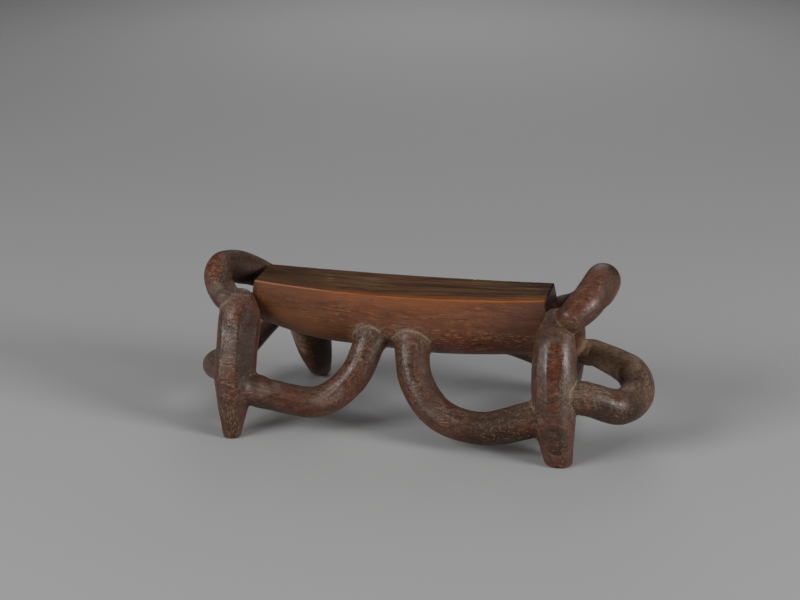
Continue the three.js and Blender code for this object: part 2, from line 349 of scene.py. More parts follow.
# ---- surface nets -------------------------------------------------------------
def mesh_field():
    low = np.array([-218.0, -108.0, -4.0])
    high = np.array([242.0, 110.0, 172.0])
    n = np.ceil((high - low) / CELL).astype(int) + 1
    axes = [low[k] + CELL * np.arange(n[k]) for k in range(3)]
    # coarse pass picks the grid points worth an exact value
    coarse = 6
    m = np.ceil(n / coarse).astype(int) + 1
    cx = [low[k] + CELL * coarse * np.arange(m[k]) for k in range(3)]
    grid = np.stack(np.meshgrid(*cx, indexing="ij"), -1).reshape(-1, 3)
    rough = np.full(len(grid), 1e3)
    for limb in LIMB_LIST:
        for k in range(0, len(limb.p)):
            rough = np.minimum(rough, np.linalg.norm(grid - limb.p[k], axis=1) - limb.r[k])
    box_lo, box_hi = np.array([BEAM_LEFT - 14, -33, 68]), np.array([BEAM_RIGHT + 16, 33, 140])
    gap = np.maximum(np.maximum(box_lo - grid, grid - box_hi), 0)
    rough = np.minimum(rough, np.linalg.norm(gap, axis=1)).reshape(m)
    keep = rough < CELL * coarse * 0.9 + 4.0
    inside = rough < -(CELL * coarse * 0.9 + 4.0)
    values = np.full(n, BAND, np.float32)
    todo = np.zeros(n, bool)
    deep = np.zeros(n, bool)
    for i, j, k in np.argwhere(keep & ~inside):
        s = tuple(slice(max(0, c * coarse - coarse // 2), c * coarse + coarse // 2 + 1) for c in (i, j, k))
        todo[s] = True
    for i, j, k in np.argwhere(inside):
        s = tuple(slice(max(0, c * coarse - coarse // 2), c * coarse + coarse // 2 + 1) for c in (i, j, k))
        deep[s] = True
    values[deep] = -BAND
    where = np.argwhere(todo)
    pts = low + CELL * where
    for start in range(0, len(pts), 400000):
        part = where[start:start + 400000]
        values[part[:, 0], part[:, 1], part[:, 2]] = carving(pts[start:start + 400000])
    return low, values


def surface_nets(low, f):
    inside = f < 0
    nx, ny, nz = f.shape
    total = np.zeros((nx - 1, ny - 1, nz - 1, 3), np.float32)
    count = np.zeros((nx - 1, ny - 1, nz - 1), np.float32)
    for axis in range(3):
        a = [slice(None)] * 3
        b = [slice(None)] * 3
        a[axis], b[axis] = slice(0, -1), slice(1, None)
        fa, fb = f[tuple(a)], f[tuple(b)]
        cross = inside[tuple(a)] != inside[tuple(b)]
        t = np.where(cross, fa / np.where(cross, fa - fb, 1), 0).astype(np.float32)
        others = [k for k in range(3) if k != axis]
        for du in (0, 1):
            for dv in (0, 1):
                src = [slice(None)] * 3
                src[others[0]] = slice(du, f.shape[others[0]] - 1 + du)
                src[others[1]] = slice(dv, f.shape[others[1]] - 1 + dv)
                c = cross[tuple(src)]
                tt = t[tuple(src)]
                count += c
                total[..., axis] += tt * c
                total[..., others[0]] += du * c
                total[..., others[1]] += dv * c
    cells = count > 0
    index = np.full(cells.shape, -1, np.int64)
    index[cells] = np.arange(cells.sum())
    where = np.argwhere(cells)
    verts = low + CELL * (where + total[cells] / count[cells][:, None])
    quads = []
    for axis in range(3):
        a = [slice(None)] * 3
        b = [slice(None)] * 3
        a[axis], b[axis] = slice(0, -1), slice(1, None)
        cross = inside[tuple(a)] != inside[tuple(b)]
        first = inside[tuple(a)]
        others = [(axis + 1) % 3, (axis + 2) % 3]
        e = np.argwhere(cross)
        e = e[(e[:, others[0]] > 0) & (e[:, others[1]] > 0) & (e[:, others[0]] < f.shape[others[0]] - 1) & (e[:, others[1]] < f.shape[others[1]] - 1)]
        flag = first[e[:, 0], e[:, 1], e[:, 2]]

        def cell(du, dv):
            c = e.copy()
            c[:, others[0]] += du
            c[:, others[1]] += dv
            return index[c[:, 0], c[:, 1], c[:, 2]]

        q = np.stack([cell(-1, -1), cell(0, -1), cell(0, 0), cell(-1, 0)], 1)
        q[~flag] = q[~flag][:, ::-1]
        quads.append(q)
    return verts, np.vstack(quads)


def relax(verts, quads, rounds):
    """Evens out the net: each vertex towards its neighbours' middle, then back on to the surface."""
    edges = np.vstack([quads[:, [0, 1]], quads[:, [1, 2]], quads[:, [2, 3]], quads[:, [3, 0]]])
    edges = np.unique(np.sort(edges, axis=1), axis=0)
    deg = np.bincount(edges.ravel(), minlength=len(verts)).astype(float)
    for _ in range(rounds):
        mid = np.zeros_like(verts)
        for a, b in ((0, 1), (1, 0)):
            for k in range(3):
                mid[:, k] += np.bincount(edges[:, a], weights=verts[edges[:, b], k], minlength=len(verts))
        mid /= deg[:, None]
        move = (mid - verts) * 0.5
        d0, g, steep = gradient(verts)
        move -= (move * g).sum(1)[:, None] * g
        verts = verts + move - g * np.clip(d0 / steep, -1.0, 1.0)[:, None]
    return verts


def gradient(v):
    """Value, unit gradient and steepness of the field."""
    eps = 0.15
    d0 = carving(v)
    g = np.stack([carving(v + eps * np.eye(3)[k]) - d0 for k in range(3)], 1) / eps
    steep = np.maximum(np.linalg.norm(g, axis=1), 1e-9)
    return d0, g / steep[:, None], np.clip(steep, 0.5, 1.6)


grid_low, grid_values = mesh_field()
net_verts, net_quads = surface_nets(grid_low, grid_values)


def one_skin(verts, quads):
    """Keeps the largest connected skin: no loose crumbs and no closed pockets inside the wood."""
    sides = np.sort(np.stack([quads, np.roll(quads, -1, axis=1)], 2).reshape(-1, 2), axis=1)
    key = sides[:, 0] * len(verts) + sides[:, 1]
    order = np.argsort(key, kind="stable")
    key, face = key[order], order // 4
    first = np.flatnonzero(np.concatenate([[True], key[1:] != key[:-1]]))
    pair = first[np.diff(np.append(first, len(key))) == 2]
    edges = np.stack([face[pair], face[pair + 1]], 1)
    label = np.arange(len(quads))
    while True:
        a, b = label[edges[:, 0]], label[edges[:, 1]]
        apart = a != b
        if not apart.any():
            break
        np.minimum.at(label, np.maximum(a, b)[apart], np.minimum(a, b)[apart])
        while True:
            up = label[label]
            if (up == label).all():
                break
            label = up
    used, share = np.unique(label, return_counts=True)
    quads = quads[label == used[np.argmax(share)]]
    kept = np.unique(quads)
    new = np.full(len(verts), -1, np.int64)
    new[kept] = np.arange(len(kept))
    return verts[kept], new[quads]


net_verts, net_quads = one_skin(net_verts, net_quads)
net_verts = relax(net_verts, net_quads, 2)

mesh = bpy.data.meshes.new("carved_headrest")
mesh.vertices.add(len(net_verts))
mesh.vertices.foreach_set("co", ((net_verts - SHIFT) * MM).astype(np.float32).ravel())
mesh.loops.add(len(net_quads) * 4)
mesh.loops.foreach_set("vertex_index", net_quads.astype(np.int32).ravel())
mesh.polygons.add(len(net_quads))
mesh.polygons.foreach_set("loop_start", np.arange(0, len(net_quads) * 4, 4, dtype=np.int32))
mesh.update(calc_edges=True)
mesh.validate()
piece = bpy.data.objects.new("carved_headrest", mesh)
bpy.context.scene.collection.objects.link(piece)

if len(net_quads) * 2 > MOST_TRIANGLES:
    thin = piece.modifiers.new("thin", "DECIMATE")
    thin.ratio = MOST_TRIANGLES / (2 * len(net_quads))
    dg = bpy.context.evaluated_depsgraph_get()
    small = bpy.data.meshes.new_from_object(piece.evaluated_get(dg), depsgraph=dg)
    piece.modifiers.remove(thin)
    piece.data = small
    bpy.data.meshes.remove(mesh)
    mesh = small
mesh.name = "carved_headrest"

# back on to the field, with the field's own normals
where = np.empty(len(mesh.vertices) * 3, np.float32)
mesh.vertices.foreach_get("co", where)
where = where.reshape(-1, 3).astype(float) / MM + SHIFT
off, normal, steep = gradient(where)
where -= normal * np.clip(off / steep, -0.5, 0.5)[:, None]
mesh.vertices.foreach_set("co", ((where - SHIFT) * MM).astype(np.float32).ravel())
mesh.update()
mesh.shade_smooth()
mesh.normals_split_custom_set_from_vertices([tuple(n) for n in normal])

# for the material: how near the next member is, how near the beam, and where along its own member each point lies
to_next, crease, to_beam, flow = seams(where)
mesh.attributes.new("flow", "FLOAT_VECTOR", "POINT").data.foreach_set("vector", flow.astype(np.float32).ravel())
for name, values in (("seam", to_next), ("crease", crease), ("beam", to_beam)):
    mesh.attributes.new(name, "FLOAT", "POINT").data.foreach_set("value", values.astype(np.float32))

# where hands, feet and dust have been at work, and where light, shade and highlights are painted in: centre and reach
# of each mark
POLISHED = ((-153, -60, 102, 15), (-42, -44, 68, 16), (-36, -39, 82, 13), (-56, -50, 54, 13), (-50, -46, 60, 11), (9, -42, 76, 13), (14, -49, 60, 14),
            (141, -59, 100, 12), (146, -64, 92, 12), (-94, -65, 46, 12), (-110, -69, 50, 10), (-52, -47, 57, 12), (200, -59, 62, 7),
            (148, 66, 88, 12), (-111, 69, 84, 12), (-176, 16, 148, 11), (112, 56, 74, 12), (-82, 60, 86, 12), (176, 66, 66, 12), (-160, 60, 66, 12))
MATT = ((-136, -52, 106, 14), (-135, -60, 90, 16), (-132, -66, 70, 16), (-155, 9, 140, 26), (27, -34, 84, 14), (29, -42, 66, 14), (34, -48, 50, 13),
        (-22, -28, 94, 9), (24, -30, 94, 11), (-141, -48, 112, 10), (166, -30, 130, 9), (-85, -57, 47, 26), (85, -64, 36, 30), (120, -68, 42, 22), (190, 35, 66, 34), (170, 52, 69, 22),
        (222, 0, 60, 24), (-100, 62, 40, 30), (140, -45, 118, 14), (189, -22, 148, 14), (184, -24, 136, 13), (195, -12, 156, 8), (-171, -38, 131, 8), (-148, -82, 16, 15), (214, -48, 52, 11), (222, -40, 56, 10))
SPECKLED = ((-154, -58, 101, 15), (-152, -67, 82, 15), (-151, -75, 60, 14), (-149, -79, 42, 9), (-118, 52, 54, 22), (-40, -42, 70, 17),
            (-58, -55, 48, 16), (-30, -33, 92, 12), (8, -38, 80, 14), (13, -47, 58, 14), (22, -52, 44, 13), (95, -68, 34, 24), (122, -72, 40, 20),
            (60, -61, 34, 16), (188, 44, 66, 28), (216, 10, 62, 24), (225, -24, 60, 20), (176, -62, 64, 15), (200, -50, 44, 18), (160, -66, 66, 12),
            (154, -84, 18, 7), (-178, -20, 138, 16), (-108, 86, 48, 14), (147, 88, 44, 12), (122, 60, 68, 13), (-86, 62, 80, 12), (200, 48, 58, 14), (-158, 60, 66, 15), (166, 44, 124, 12))
# pale scrapes; those on the back of the low right loop are also painted light
SCUFFS_AND_PAINTED_LIGHT = ((-40, -25, 97, 8), (-31, -28, 100, 7), (-21, -28, 100, 7), (-5, -27, 97, 8), (4, -29, 101, 8), (14, -30, 102, 8), (24, -29, 98, 8), (31, -27, 92, 6), (135, -31, 127, 5), (134, -34, 121, 5), (131, -38, 112, 5), (129, -42, 102, 5), (180, 40, 65, 13), (206, 28, 70, 15), (222, 4, 66, 14), (229, -22, 58, 12), (-147, -86, 12, 12), (-149, -84, 26, 9), (-146, -86, 3, 6), (176, -62, 66, 12), (190, -60, 68, 9), (168, -64, 52, 9), (212, -30, 62, 9),
           (167, -62, 72, 12), (-160, -48, 118, 9), (130, -62, 48, 13), (156, -48, 122, 10))
EMBER = ((147, -61, 104, 6), (148, -66, 94, 6.5), (148, -70, 82, 6.5), (149, -74, 70, 6), (150, -78, 58, 5), (-105, 57, 36, 8), (-104, 60, 26, 8), (-106, 55, 47, 7), (164, -45, 141, 10), (159, -47, 135, 8), (156, -50, 129, 8), (171, -37, 148, 12), (178, -14, 161, 12),
         (-180, -22, 140, 13), (-181, -8, 146, 12), (-152, -53, 112, 7),
         (147, 67, 82, 9), (148, 76, 66, 8), (-111, 70, 76, 9), (-109, 80, 58, 7), (178, 36, 142, 10), (-164, 32, 143, 10), (-152, 42, 134, 8), (-190, 30, 42, 9))
RUDDY = ((-62, -54, 15, 16), (-133, -9, 92, 10), (-97, -20, 96, 11), (56, -62, 16, 24), (30, -58, 34, 14), (-150, -76, 62, 12), (-118, 50, 60, 16), (30, -26, 92, 20), (16, -50, 56, 12),
         (-172, -30, 128, 12), (-49, -46, 58, 12), (144, -80, 24, 13), (148, 90, 32, 13), (-108, 90, 36, 14), (104, 50, 80, 14), (-72, 56, 90, 13), (164, 46, 122, 14), (-146, 66, 84, 13), (-186, 36, 46, 13))
# painted shade: spots darkened where the lamps leave a face in shadow, inside the loops, on the far sides of the legs
# and under the struts
PAINTED_SHADE_SPOTS = ((-129, -18, 103, 6), (156, -84, 20, 7), (-96, 65, 27, 9), (-95, 62, 42, 9), (192, -66, 50, 9), (205, 4, 56, 9), (-162, -6, 138, 13), (-161, 2, 144, 9), (-168, 2, 150, 8), (192, -2, 164, 7), (-166, -25, 140, 7), (152, -82, 32, 11), (196, -64, 50, 12), (214, -48, 44, 14), (-92, 66, 27, 17), (-93, 62, 50, 15), (-96, 52, 72, 12), (104, -70, 18, 20), (130, -66, 28, 15),
          (-158, 6, 143, 15), (-150, 12, 132, 16), (-139, -50, 110, 10), (-135, -56, 98, 13), (-133, -62, 80, 13), (-132, -68, 62, 13), (84, -58, 10, 24), (-119, -72, 30, 14))


# painted light: faces the lamps leave dark, on the back branch of the low right loop and on the back left leg,
# lightened
PAINTED_LIGHT_SPOTS = ((171, 47, 66, 13), (180, 40, 65, 13), (190, 31, 64, 14), (200, 22, 65, 13), (209, 9, 66, 9), (-116, 48, 55, 11), (-119, 46, 40, 9))
# painted highlight: pale grey spots on ridges of the front left strut and the raised left loop
PAINTED_HIGHLIGHT_SPOTS = ((-66, -60, 38, 7), (-60, -58, 42, 8), (-54, -54, 48, 8), (-116, -74, 49, 7), (-106, -68, 48, 5), (-173, -37, 132, 6))


def marks(pts, places, soft=0.45):
    """1 on the marks, 0 away from them, with ragged soft edges."""
    ragged = pts + np.stack([4.5 * swell(pts + 31.7 * k, LATTICE[k % 2], np.array([9.0, 9.0, 13.0])) for k in range(3)], 1)
    total = np.zeros(len(pts))
    for x, y, z, r in places:
        s = np.clip((r * (1 + soft) - np.linalg.norm(ragged - (x, y, z), axis=1)) / (2 * soft * r), 0, 1)
        total = np.maximum(total, s * s * (3 - 2 * s))
    return total


for name, three in (("care", (POLISHED, MATT, SPECKLED)), ("tint_and_painted_shade", (EMBER, RUDDY, PAINTED_SHADE_SPOTS)), ("scuff_and_painted_light", (SCUFFS_AND_PAINTED_LIGHT,)), ("painted_light", (PAINTED_LIGHT_SPOTS,)), ("painted_highlight", (PAINTED_HIGHLIGHT_SPOTS,))):
    values = np.stack([marks(where, places) for places in three], 1).astype(np.float32)
    if values.shape[1] == 1:
        mesh.attributes.new(name, "FLOAT", "POINT").data.foreach_set("value", values[:, 0])
    else:
        mesh.attributes.new(name, "FLOAT_VECTOR", "POINT").data.foreach_set("vector", values.ravel())

# ---- wood ---------------------------------------------------------------------
class Nodes:
    """Short hand for a node tree: values are sockets or plain numbers and colours."""

    def __init__(self, tree):
        self.tree = tree

    def add(self, kind, inputs=None, **settings):
        node = self.tree.nodes.new(kind)
        for key, value in settings.items():
            setattr(node, key, value)
        for key, value in (inputs or {}).items():
            self.put(node.inputs[key], value)
        return node

    def put(self, socket, value):
        if isinstance(value, bpy.types.NodeSocket):
            self.tree.links.new(value, socket)
        else:
            socket.default_value = value

    def math(self, op, a, b=None, c=None, clamp=False):
        node = self.add("ShaderNodeMath", operation=op, use_clamp=clamp)
        for socket, value in zip(node.inputs, (a, b, c)):
            if value is not None:
                self.put(socket, value)
        return node.outputs[0]

    def vector(self, op, a, b=None, c=None):
        node = self.add("ShaderNodeVectorMath", operation=op)
        for socket, value in zip(node.inputs, (a, b, c)):
            if value is not None:
                self.put(socket, value)
        return node.outputs["Value" if op in ("LENGTH", "DISTANCE", "DOT_PRODUCT") else "Vector"]

    def noise(self, at, scale, detail=2.0, rough=0.5, warp=0.0, colour=False):
        node = self.add("ShaderNodeTexNoise", {"Vector": at, "Scale": scale, "Detail": detail, "Roughness": rough, "Distortion": warp})
        return node.outputs["Color" if colour else "Fac"]

    def ramp(self, value, low, high, to=(0.0, 1.0), smooth=True):
        """Maps low..high to the two ends of to, held outside."""
        node = self.add("ShaderNodeMapRange", {"Value": value, "From Min": low, "From Max": high, "To Min": to[0], "To Max": to[1]},
                        clamp=True, interpolation_type="SMOOTHSTEP" if smooth else "LINEAR")
        return node.outputs[0]

    def mix(self, share, a, b, blend="MIX"):
        node = self.add("ShaderNodeMix", data_type="RGBA", blend_type=blend, clamp_factor=True)
        self.put(node.inputs["Factor"], share)
        self.put([s for s in node.inputs if s.name == "A" and s.type == "RGBA"][0], a)
        self.put([s for s in node.inputs if s.name == "B" and s.type == "RGBA"][0], b)
        return [s for s in node.outputs if s.type == "RGBA"][0]

    def spots(self, at, places, edge=0.35):
        """1 inside any of the soft balls (centre and radius in mm), 0 outside."""
        total = None
        for x, y, z, r in places:
            d = self.vector("DISTANCE", at, (x, y, z))
            one = self.ramp(d, r * (1 - edge), r * (1 + edge), (1.0, 0.0))
            total = one if total is None else self.math("MAXIMUM", total, one)
        return total


def rgb(r, g, b):
    """A colour as seen on screen, 0 to 255, to the linear values of a socket."""
    return tuple((c / 255 / 12.92 if c <= 10 else ((c / 255 + 0.055) / 1.055) ** 2.4) for c in (r, g, b)) + (1.0,)


def wood():
    material = bpy.data.materials.new("carved_wood")
    material.use_nodes = True
    tree = material.node_tree
    tree.nodes.clear()
    n = Nodes(tree)
    out = n.add("ShaderNodeOutputMaterial")
    shader = n.add("ShaderNodeBsdfPrincipled")
    tree.links.new(shader.outputs[0], out.inputs[0])
    place = n.add("ShaderNodeTexCoord").outputs["Object"]
    p = n.vector("MULTIPLY_ADD", place, (1000.0, 1000.0, 1000.0), tuple(SHIFT))
    flow = n.add("ShaderNodeAttribute", attribute_name="flow").outputs["Vector"]
    seam = n.add("ShaderNodeAttribute", attribute_name="seam").outputs["Fac"]
    beam = n.add("ShaderNodeAttribute", attribute_name="beam").outputs["Fac"]
    crease = n.add("ShaderNodeAttribute", attribute_name="crease").outputs["Fac"]
    scuff_and_painted_light = n.add("ShaderNodeAttribute", attribute_name="scuff_and_painted_light").outputs["Fac"]
    painted_light = n.add("ShaderNodeAttribute", attribute_name="painted_light").outputs["Fac"]
    painted_highlight = n.add("ShaderNodeAttribute", attribute_name="painted_highlight").outputs["Fac"]
    polish, matt, speckle = n.add("ShaderNodeSeparateXYZ", {"Vector": n.add("ShaderNodeAttribute", attribute_name="care").outputs["Vector"]}).outputs
    ember, ruddy, painted_shade = n.add("ShaderNodeSeparateXYZ", {"Vector": n.add("ShaderNodeAttribute", attribute_name="tint_and_painted_shade").outputs["Vector"]}).outputs
    on_beam = n.ramp(beam, 0.6, 2.0, (1.0, 0.0))
    off_beam = n.math("SUBTRACT", 1.0, on_beam)
    xyz = n.add("ShaderNodeSeparateXYZ", {"Vector": p})
    x, y, z = xyz.outputs
    up = n.add("ShaderNodeSeparateXYZ", {"Vector": n.add("ShaderNodeNewGeometry").outputs["Normal"]}).outputs[2]

    # the grain runs along X and wavers a little
    drift = n.noise(n.vector("MULTIPLY", p, (0.4, 1.0, 1.0)), 0.022, 2.0, 0.5, colour=True)
    waver = n.vector("MULTIPLY_ADD", n.vector("SUBTRACT", drift, (0.5, 0.5, 0.5)), (0.0, 14.0, 14.0), p)
    along = n.vector("MULTIPLY", waver, (0.05, 1.0, 1.0))
    short = n.vector("MULTIPLY", waver, (0.22, 1.0, 1.0))
    rubbed = n.vector("MULTIPLY", flow, (0.07, 1.0, 1.0))

    # growth rings about a line far behind, so that the round members show nested ovals
    heart = n.vector("MULTIPLY", n.vector("SUBTRACT", waver, (0.0, 217.0, -28.0)), (0.0, 1.0, 1.0))
    ring = n.math("MULTIPLY_ADD", n.noise(short, 0.10, 2.0, 0.5), 9.0, n.vector("LENGTH", heart))
    ring_wave = n.math("SINE", n.math("MULTIPLY", ring, 2 * math.pi / 2.0))
    ring_lines = n.ramp(ring_wave, 0.35, 0.95)

    fibre = n.noise(along, 0.95, 4.0, 0.62)
    streak = n.noise(along, 0.20, 3.0, 0.55)
    mottle = n.noise(p, 0.045, 3.0, 0.6)
    patch = n.noise(short, 0.11, 3.0, 0.6)
    grit = n.noise(p, 0.9, 3.0, 0.6)
    rub = n.noise(rubbed, 0.5, 4.0, 0.65)

    flake = n.noise(n.vector("MULTIPLY", waver, (0.45, 1.0, 1.0)), 0.42, 4.0, 0.7)
    blot = n.noise(n.vector("MULTIPLY", waver, (0.7, 1.0, 1.0)), 0.26, 3.0, 0.68)
    brush = n.noise(n.vector("MULTIPLY", flow, (0.16, 1.0, 1.0)), 0.75, 3.0, 0.65)

    # bare wood: red brown, darker and lighter along the grain
    dark = n.mix(on_beam, rgb(44, 24, 15), rgb(86, 48, 28))
    mid = n.mix(on_beam, rgb(84, 48, 31), rgb(128, 76, 46))
    light = n.mix(on_beam, rgb(112, 70, 47), rgb(146, 91, 57))
    tone = n.mix(n.ramp(fibre, 0.30, 0.62), dark, mid)
    tone = n.mix(n.ramp(streak, 0.42, 0.72, (0.0, 0.6)), tone, light)
    tone = n.mix(n.ramp(mottle, 0.52, 0.36, (0.0, 0.45)), tone, dark)
    hue = n.noise(p, 0.035, 3.0, 0.55)
    tone = n.mix(n.math("MULTIPLY", n.ramp(hue, 0.46, 0.34), n.math("MULTIPLY", off_beam, 0.55)), tone, rgb(78, 62, 45))
    tone = n.mix(n.math("MULTIPLY", n.ramp(hue, 0.52, 0.64), n.math("MULTIPLY", off_beam, 0.55)), tone, rgb(106, 56, 38))
    band_grain = n.noise(n.vector("MULTIPLY", waver, (0.12, 1.0, 1.0)), 0.42, 3.0, 0.65)
    tone = n.mix(n.math("MULTIPLY", n.ramp(band_grain, 0.46, 0.34), 0.5), tone, dark)
    tone = n.mix(n.math("MULTIPLY", n.ramp(band_grain, 0.54, 0.66), n.ramp(on_beam, 0.0, 1.0, (0.15, 0.45))), tone, light)
    olive = n.math("MULTIPLY", on_beam, n.math("MULTIPLY", n.ramp(x, 0.0, -110.0), n.ramp(n.math("MULTIPLY_ADD", patch, 24.0, z), 128.0, 112.0)))
    tone = n.mix(n.math("MULTIPLY", olive, 0.6), tone, rgb(110, 74, 44))
    lower = n.math("MULTIPLY", on_beam, n.ramp(n.math("MULTIPLY_ADD", streak, 16.0, z), 111.0, 96.0))
    lower = n.math("MULTIPLY", lower, n.ramp(x, -20.0, 40.0, (0.35, 0.9)))
    tone = n.mix(lower, tone, n.mix(n.ramp(n.math("MULTIPLY_ADD", n.math("SUBTRACT", flake, 0.5), 0.6, fibre), 0.36, 0.60), rgb(50, 18, 8), rgb(128, 62, 30)))

    dash = n.add("ShaderNodeTexVoronoi", {"Vector": n.vector("MULTIPLY", waver, (0.17, 1.0, 1.0)), "Scale": 0.85, "Randomness": 1.0}, feature="F1", distance="EUCLIDEAN")
    dash_kind = n.add("ShaderNodeSeparateColor", {"Color": dash.outputs["Color"]}).outputs[1]
    side = n.ramp(n.math("ABSOLUTE", n.math("ADD", x, 1.3)), 132.8, 134.2, (1.0, 0.0))       # 0 on the sawn ends, where the grain is cut across
    dash_in = n.math("MULTIPLY", n.ramp(dash.outputs["Distance"], 0.50, 0.25), n.math("MULTIPLY", on_beam, side))
    tone = n.mix(n.math("MULTIPLY", dash_in, n.ramp(dash_kind, 0.24, 0.16, (0.0, 0.55))), tone, rgb(62, 33, 19))
    tone = n.mix(n.math("MULTIPLY", dash_in, n.ramp(n.math("MULTIPLY_ADD", lower, 0.18, dash_kind), 0.84, 0.92, (0.0, 0.46))), tone, rgb(172, 126, 88))
    glow = n.math("MULTIPLY", on_beam, n.math("MULTIPLY", n.ramp(z, 116.0, 128.0), n.ramp(patch, 0.36, 0.58, (0.15, 0.6))))
    tone = n.mix(n.math("MULTIPLY", glow, n.math("MULTIPLY", n.ramp(x, 90.0, 40.0, (0.25, 1.0)), n.ramp(x, -120.0, -50.0, (0.35, 1.0)))), tone, rgb(144, 84, 46))

    tone = n.mix(n.math("MULTIPLY", n.math("MULTIPLY", on_beam, n.ramp(x, -40.0, -100.0)), 0.32), tone, rgb(80, 50, 33))

    # painted light: the downward-turning lower left of the beam's front lightened in place of light bounced from the
    # floor
    tone = n.mix(n.math("MULTIPLY", on_beam, n.math("MULTIPLY", n.ramp(x, -62.0, -96.0), n.ramp(z, 113.0, 105.0, (0.0, 0.5)))), tone, rgb(152, 98, 60))

    tone = n.mix(n.math("MULTIPLY", n.math("MULTIPLY", on_beam, n.math("SUBTRACT", 1.0, side)), 0.62), tone, n.mix(ring_lines, rgb(70, 43, 28), rgb(88, 56, 36)))

    # red and orange where it is rubbed clean; painted shade, near black, where the lamps leave the members in shadow
    torn = n.ramp(brush, 0.36, 0.60)
    tone = n.mix(n.math("MULTIPLY", ruddy, n.ramp(flake, 0.32, 0.62, (0.15, 0.65))), tone, rgb(100, 54, 36))
    tone = n.mix(n.math("MULTIPLY", ember, n.ramp(torn, 0.0, 1.0, (0.24, 0.66))), tone, n.mix(n.ramp(flake, 0.36, 0.62), rgb(80, 34, 15), rgb(124, 62, 27)))
    tone = n.mix(n.math("MULTIPLY", painted_shade, n.ramp(flake, 0.62, 0.36, (0.32, 0.76))), tone, rgb(42, 27, 18))
    tone = n.mix(n.math("MULTIPLY", n.math("MULTIPLY", on_beam, n.ramp(x, 60.0, 110.0)), 0.45), tone, rgb(82, 52, 44))

    # a grey-brown film of old dust and handling, thick on top and in the corners, rubbed through in streaks
    settle = n.ramp(up, -0.45, 0.75, (-0.36, 0.34))
    film = n.math("ADD", settle, n.ramp(patch, 0.35, 0.65, (-0.28, 0.3)))
    film = n.math("ADD", film, n.ramp(rub, 0.3, 0.7, (-0.32, 0.3)))
    film = n.math("ADD", film, n.ramp(seam, 1.4, 7.0, (0.4, 0.0)))
    # less film on the orange marks and on the painted shade
    film = n.math("ADD", film, n.math("MULTIPLY_ADD", matt, 0.42, n.math("MULTIPLY", n.math("ADD", ember, painted_shade), -0.45)))
    film = n.math("MULTIPLY", n.ramp(film, 0.05, 0.95), n.ramp(on_beam, 0.0, 1.0, (0.75, 0.20)))
    tone = n.mix(film, tone, n.mix(n.ramp(matt, 0.0, 1.0, (0.0, 0.6)), n.mix(n.ramp(flake, 0.35, 0.65), rgb(60, 46, 36), rgb(100, 81, 66)), rgb(74, 59, 50)))

    # painted shade once more, darker, over the film
    tone = n.mix(n.math("MULTIPLY", painted_shade, 0.42), tone, rgb(34, 22, 15))
    # painted light: pale mottled patches on those faces
    tone = n.mix(n.math("MULTIPLY", painted_light, n.ramp(blot, 0.38, 0.56, (0.42, 0.95))), tone, n.mix(n.ramp(grit, 0.35, 0.65), rgb(108, 82, 62), rgb(164, 134, 106)))

    # pale lines of the grain on the round members
    lines = n.math("MULTIPLY", ring_lines, n.ramp(n.noise(short, 0.5, 2.0, 0.6), 0.40, 0.58))
    lines = n.math("MULTIPLY", lines, n.math("MULTIPLY", off_beam, n.ramp(speckle, 0.0, 1.0, (0.30, 0.9))))
    lines = n.math("MULTIPLY", lines, n.ramp(matt, 0.0, 1.0, (1.0, 0.35)))
    tone = n.mix(n.math("MULTIPLY", lines, 0.5), tone, rgb(146, 116, 92))

    # open pores: short dashes along the grain, filled with pale dust
    def pores(size, slim, keep, wide):
        cells = n.add("ShaderNodeTexVoronoi", {"Vector": n.vector("MULTIPLY", waver, (slim / size, 1.0 / size, 1.0 / size)), "Scale": 1.0, "Randomness": 1.0},
                      feature="F1", distance="EUCLIDEAN")
        chosen = n.math("LESS_THAN", n.add("ShaderNodeSeparateColor", {"Color": cells.outputs["Color"]}).outputs[0], keep)
        return n.math("MULTIPLY", n.ramp(cells.outputs["Distance"], wide * 0.3, wide, (1.0, 0.0)), chosen)

    pore = n.math("MAXIMUM", pores(0.95, 0.62, 0.40, 0.52), n.math("MULTIPLY", pores(1.5, 0.34, 0.26, 0.42), 0.8))
    where_pores = n.math("MULTIPLY", n.ramp(n.noise(p, 0.06, 3.0, 0.65), 0.42, 0.62, (0.1, 1.0)), n.ramp(n.noise(short, 0.7, 2.0, 0.5), 0.36, 0.58, (0.25, 1.0)))
    where_pores = n.math("MAXIMUM", n.math("MULTIPLY", where_pores, 0.75), speckle)
    low_band = n.math("MULTIPLY", on_beam, n.math("MULTIPLY", n.math("MULTIPLY", n.ramp(z, 106.0, 101.0), n.ramp(z, 84.0, 98.0, (0.35, 1.0))), n.ramp(x, 10.0, 40.0, (0.2, 1.3))))
    low_band = n.math("MULTIPLY", low_band, side)
    pore_share = n.math("MULTIPLY", pore, n.math("MAXIMUM", n.math("MULTIPLY", where_pores, off_beam), n.math("MAXIMUM", low_band, n.math("MULTIPLY", where_pores, 0.15))))
    tone = n.mix(n.math("MULTIPLY", n.math("MULTIPLY", dash_in, n.math("MULTIPLY", low_band, 0.5)), n.ramp(dash_kind, 0.56, 0.66)), tone, rgb(178, 138, 98))
    tone = n.mix(n.math("MULTIPLY", pore_share, 0.72), tone, n.mix(n.ramp(flake, 0.4, 0.6), rgb(118, 94, 72), rgb(162, 134, 106)))

